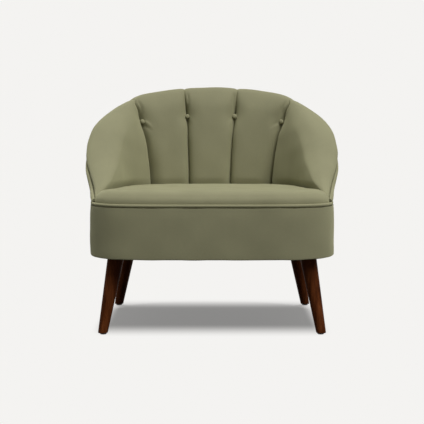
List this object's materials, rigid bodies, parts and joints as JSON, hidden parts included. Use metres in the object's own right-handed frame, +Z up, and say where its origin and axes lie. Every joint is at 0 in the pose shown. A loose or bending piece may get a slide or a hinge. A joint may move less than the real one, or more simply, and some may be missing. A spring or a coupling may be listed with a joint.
{
  "type": "tub chair",
  "caption": "Fixed-seat tub chair: a channelled, buttoned back sweeps down into rolled arms around a crowned, piped seat on a deep upholstered base with splayed tapered legs.",
  "frame": {"origin": "on the floor, under the middle of the chair's bounding box", "axes": "+X to the right seen from the front, +Y from the front to the back, +Z up"},
  "size_m": [0.8184, 0.7058, 0.7608],
  "materials": {
    "upholstery": "sage green plush velvet with a soft sheen",
    "foam": "open-cell upholstery foam",
    "frame_wood": "plain sawn beech",
    "leg_wood": "dark walnut stain under satin lacquer",
    "fixing_steel": "zinc plated",
    "spring_steel": "oiled spring wire",
    "jute": "woven jute",
    "black_cloth": "black spunbonded cloth",
    "glide_plastic": "moulded, matt"
  },
  "bodies": {
    "root": {"left_arm_cover": "upholstery", "back_cover_left": "upholstery", "back_cover_middle": "upholstery", "back_cover_right": "upholstery", "right_arm_cover": "upholstery", "outer_cover": "upholstery", "base_cover": "upholstery", "seat_cover": "upholstery", "seat_piping": "upholstery", "back_button_1": "upholstery", "back_button_2": "upholstery", "back_button_3": "upholstery", "back_button_4": "upholstery", "left_arm_foam": "foam", "back_foam": "foam", "right_arm_foam": "foam", "seat_foam": "foam", "base_padding": "foam", "back_rail": "frame_wood", "right_rail": "frame_wood", "left_rail": "frame_wood", "front_rail": "frame_wood", "rim_rail": "frame_wood", "back_post_left": "frame_wood", "back_post_right": "frame_wood", "side_post_left": "frame_wood", "side_post_right": "frame_wood", "front_post_left": "frame_wood", "front_post_right": "frame_wood", "front_left_block": "frame_wood", "front_right_block": "frame_wood", "back_left_block": "frame_wood", "back_right_block": "frame_wood", "front_left_leg": "leg_wood", "front_right_leg": "leg_wood", "back_left_leg": "leg_wood", "back_right_leg": "leg_wood", "front_left_bolt": "fixing_steel", "front_right_bolt": "fixing_steel", "back_left_bolt": "fixing_steel", "back_right_bolt": "fixing_steel", "front_left_nut": "fixing_steel", "front_right_nut": "fixing_steel", "back_left_nut": "fixing_steel", "back_right_nut": "fixing_steel", "spring_clips_front": "fixing_steel", "spring_clips_back": "fixing_steel", "seat_spring_1": "spring_steel", "seat_spring_2": "spring_steel", "seat_spring_3": "spring_steel", "seat_spring_4": "spring_steel", "seat_spring_5": "spring_steel", "back_webbing_lower": "jute", "back_webbing_upper": "jute", "spring_cloth": "jute", "dust_cover": "black_cloth", "front_left_glide": "glide_plastic", "front_right_glide": "glide_plastic", "back_left_glide": "glide_plastic", "back_right_glide": "glide_plastic"}
  },
  "joints": []
}
